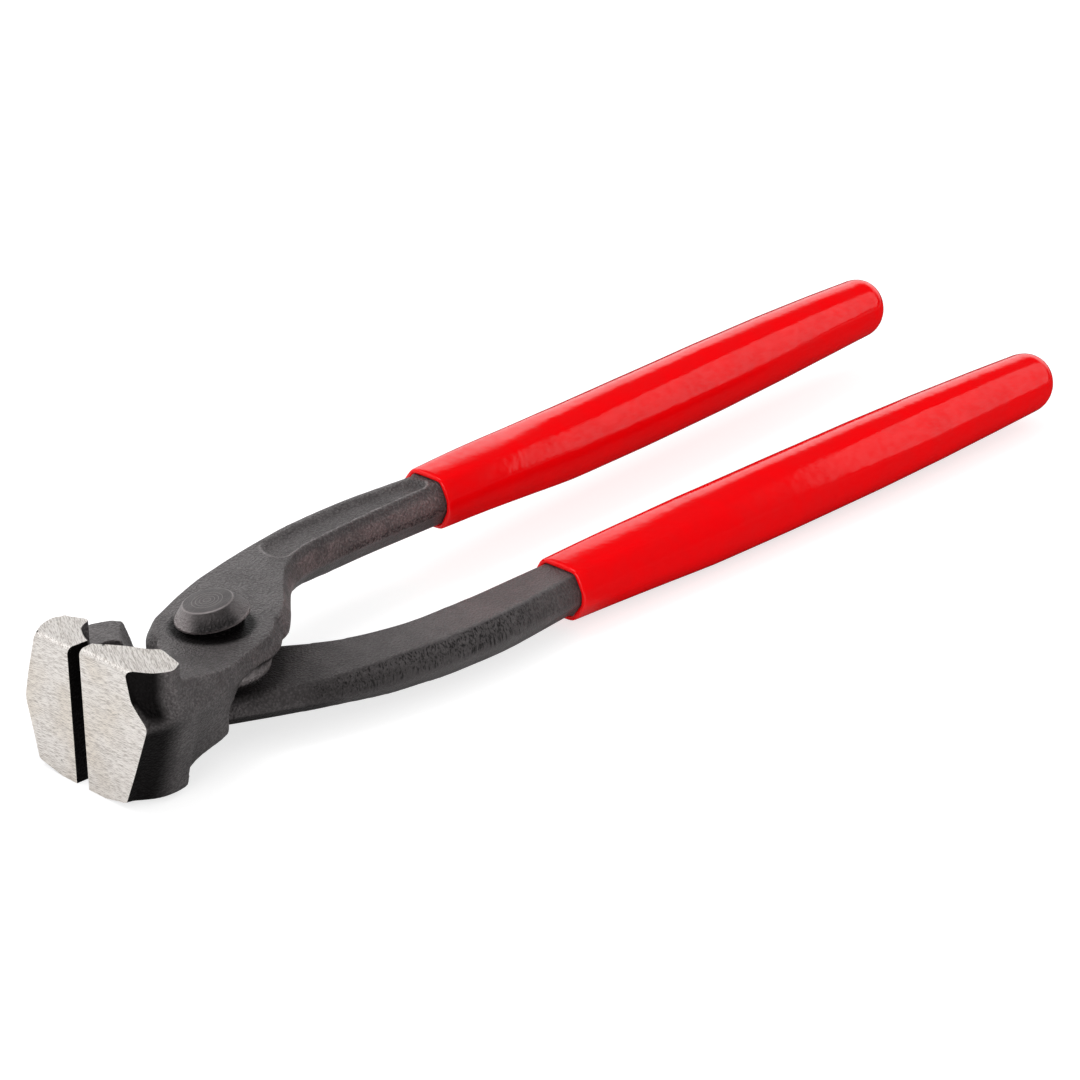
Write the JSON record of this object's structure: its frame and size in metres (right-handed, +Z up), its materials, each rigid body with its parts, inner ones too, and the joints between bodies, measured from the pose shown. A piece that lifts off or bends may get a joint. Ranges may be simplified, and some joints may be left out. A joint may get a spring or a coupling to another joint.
{
  "type": "end cutting nippers",
  "caption": "Lap-jointed nippers with ground front faces and ground side lips on the jaws, bowed forged levers, a cone-headed pivot rivet and dipped red handle sleeves.",
  "frame": {"origin": "on the pivot axis, at the flat end of the closed rivet head under the lower half", "axes": "+Z up along the pivot axis towards the cone head of the rivet, +X along the tool from the jaws to the handles, +Y to the upper half's handle"},
  "size_m": [0.25, 0.06, 0.0272],
  "materials": {
    "forged_steel": "black forged skin, ground bright on the jaw faces",
    "turned_steel": "blackened, turned",
    "red_pvc": "glossy dipped"
  },
  "bodies": {
    "upper": {"upper_half": "forged_steel", "upper_grip": "red_pvc", "pivot_rivet": "turned_steel"},
    "lower": {"lower_half": "forged_steel", "lower_grip": "red_pvc"}
  },
  "joints": [
    {"name": "pivot", "type": "hinge", "parent": "upper", "child": "lower", "pos_m": [0, 0, 0.0081], "axis": [0, 0, -1], "range_deg": [-5.8, 36]}
  ]
}
